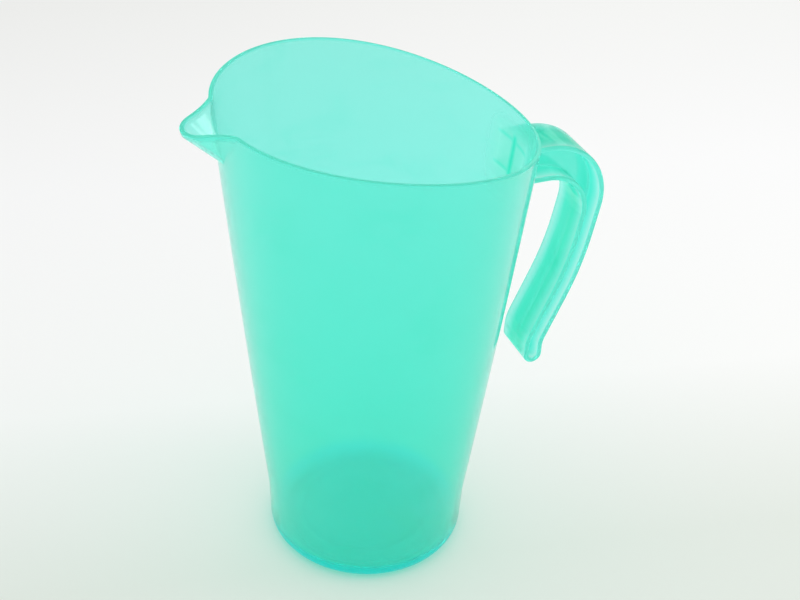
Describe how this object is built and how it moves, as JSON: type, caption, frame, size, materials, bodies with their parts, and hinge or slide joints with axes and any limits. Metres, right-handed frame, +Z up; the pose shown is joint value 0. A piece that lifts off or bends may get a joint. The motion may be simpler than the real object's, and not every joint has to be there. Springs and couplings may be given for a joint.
{
  "type": "beer pitcher",
  "caption": "Tall tapered pitcher in translucent turquoise plastic with a sloping rim, a pulled beak spout and an open I-section handle that hangs free at its lower end.",
  "frame": {"origin": "centre of the standing ring, on the surface that the pitcher stands on", "axes": "+Z up along the body's axis, +X towards the handle, -X towards the spout"},
  "size_m": [0.197, 0.1424, 0.2405],
  "materials": {
    "plastic": "translucent turquoise moulded plastic with a smooth, softly glossy surface"
  },
  "bodies": {
    "root": {"floor": "plastic", "base_band": "plastic", "body_wall": "plastic", "rim": "plastic", "spout": "plastic", "handle_outer_flange": "plastic", "handle_inner_flange": "plastic", "handle_web": "plastic", "handle_tip": "plastic"}
  },
  "joints": []
}
